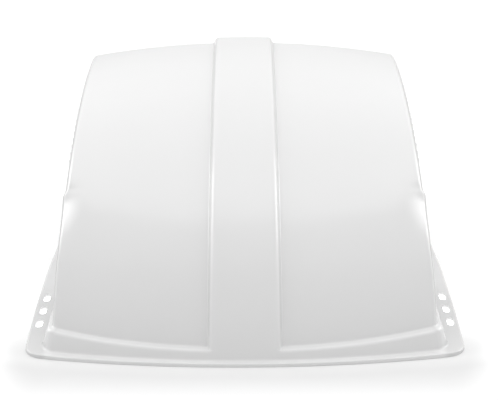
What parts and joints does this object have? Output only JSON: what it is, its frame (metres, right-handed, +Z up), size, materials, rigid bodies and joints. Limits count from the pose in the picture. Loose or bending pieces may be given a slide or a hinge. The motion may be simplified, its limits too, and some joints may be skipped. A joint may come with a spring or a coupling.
{
  "type": "roof vent cover",
  "caption": "Wedge-shaped glossy white weather hood with a raised centre rib, louvred rear and sides and slotted side flanges, tilting on roof brackets.",
  "frame": {"origin": "on the roof plane, in the middle of the roof vent opening that the hood covers", "axes": "+X to the hood's right-hand side, +Y to its louvred rear, +Z up away from the roof"},
  "size_m": [0.508, 0.5741, 0.2383],
  "materials": {
    "hood_plastic": "smooth glossy white moulding",
    "louvre_plastic": "smooth semi-gloss white moulding",
    "frame_plastic": "fine-textured white moulding",
    "screen_mesh": "dull woven wire",
    "stainless_screws": "passivated stainless steel",
    "nylon": "natural nylon",
    "zinc_plated_steel": "zinc plate, faintly bright",
    "pin_steel": "turned stainless steel",
    "ring_steel": "bright wire",
    "spring_steel": "bright spring wire"
  },
  "bodies": {
    "roof_brackets": {"left_front_bracket": "zinc_plated_steel", "right_front_bracket": "zinc_plated_steel", "left_rear_bracket": "zinc_plated_steel", "right_rear_bracket": "zinc_plated_steel", "left_hinge_pin": "pin_steel", "right_hinge_pin": "pin_steel", "hinge_spacers": "nylon", "left_hairpin_clip": "spring_steel", "right_hairpin_clip": "spring_steel"},
    "hood": {"hood_shell": "hood_plastic", "rear_louvre_panel": "louvre_plastic", "left_louvre_panel": "louvre_plastic", "right_louvre_panel": "louvre_plastic", "rear_insect_screen": "screen_mesh", "left_insect_screen": "screen_mesh", "right_insect_screen": "screen_mesh", "rear_screen_frame": "frame_plastic", "screen_screws": "stainless_screws", "side_louvre_screws": "stainless_screws", "left_hinge_bushing": "nylon", "right_hinge_bushing": "nylon", "left_latch_bushing": "nylon", "right_latch_bushing": "nylon"},
    "left_release_pin": {"left_release_pin": "pin_steel"},
    "right_release_pin": {"right_release_pin": "pin_steel"},
    "left_pull_ring": {"left_pull_ring": "ring_steel"},
    "right_pull_ring": {"right_pull_ring": "ring_steel"}
  },
  "joints": [
    {"name": "hood_tilt", "type": "hinge", "parent": "roof_brackets", "child": "hood", "pos_m": [0, 0.242, 0.018], "axis": [-1, 0, 0], "range_deg": [0, 55]},
    {"name": "left_release_pin_slide", "type": "slide", "parent": "hood", "child": "left_release_pin", "axis": [-1, 0, 0], "range_m": [-0.0065, 0.01]},
    {"name": "left_pull_ring_swing", "type": "hinge", "parent": "left_release_pin", "child": "left_pull_ring", "pos_m": [-0.2362, 0.016, 0.044], "axis": [0, 1, 0], "range_deg": [0, 90]},
    {"name": "right_release_pin_slide", "type": "slide", "parent": "hood", "child": "right_release_pin", "axis": [1, 0, 0], "range_m": [-0.0065, 0.01]},
    {"name": "right_pull_ring_swing", "type": "hinge", "parent": "right_release_pin", "child": "right_pull_ring", "pos_m": [0.2362, 0.016, 0.044], "axis": [0, -1, 0], "range_deg": [0, 90]}
  ]
}
